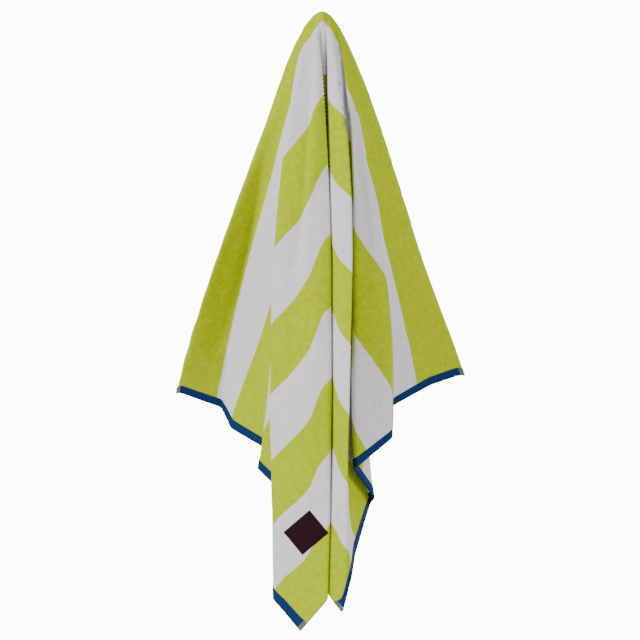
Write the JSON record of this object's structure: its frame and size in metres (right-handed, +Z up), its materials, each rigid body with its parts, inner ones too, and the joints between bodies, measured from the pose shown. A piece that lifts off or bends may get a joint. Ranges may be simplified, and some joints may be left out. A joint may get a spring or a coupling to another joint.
{
  "type": "beach towel",
  "caption": "Striped velour beach towel hanging from one point near the middle of a long edge, with deep front folds, side flaps, bound short ends and a bare sewn patch.",
  "frame": {"origin": "the hanging point: the underside of the cloth at its peak, where the peg would carry it", "axes": "+Z up; the face with the front folds looks towards -Y; +X to the right seen from the front"},
  "size_m": [0.6097, 0.4831, 1.2204],
  "materials": {
    "striped_velour": "lime and white striped cotton velour",
    "blue_tape": "woven blue tape",
    "dark_patch": "matt dark maroon imitation leather"
  },
  "bodies": {
    "root": {"towel": "striped_velour", "binding_left": "blue_tape", "binding_right": "blue_tape", "patch": "dark_patch"}
  },
  "joints": []
}
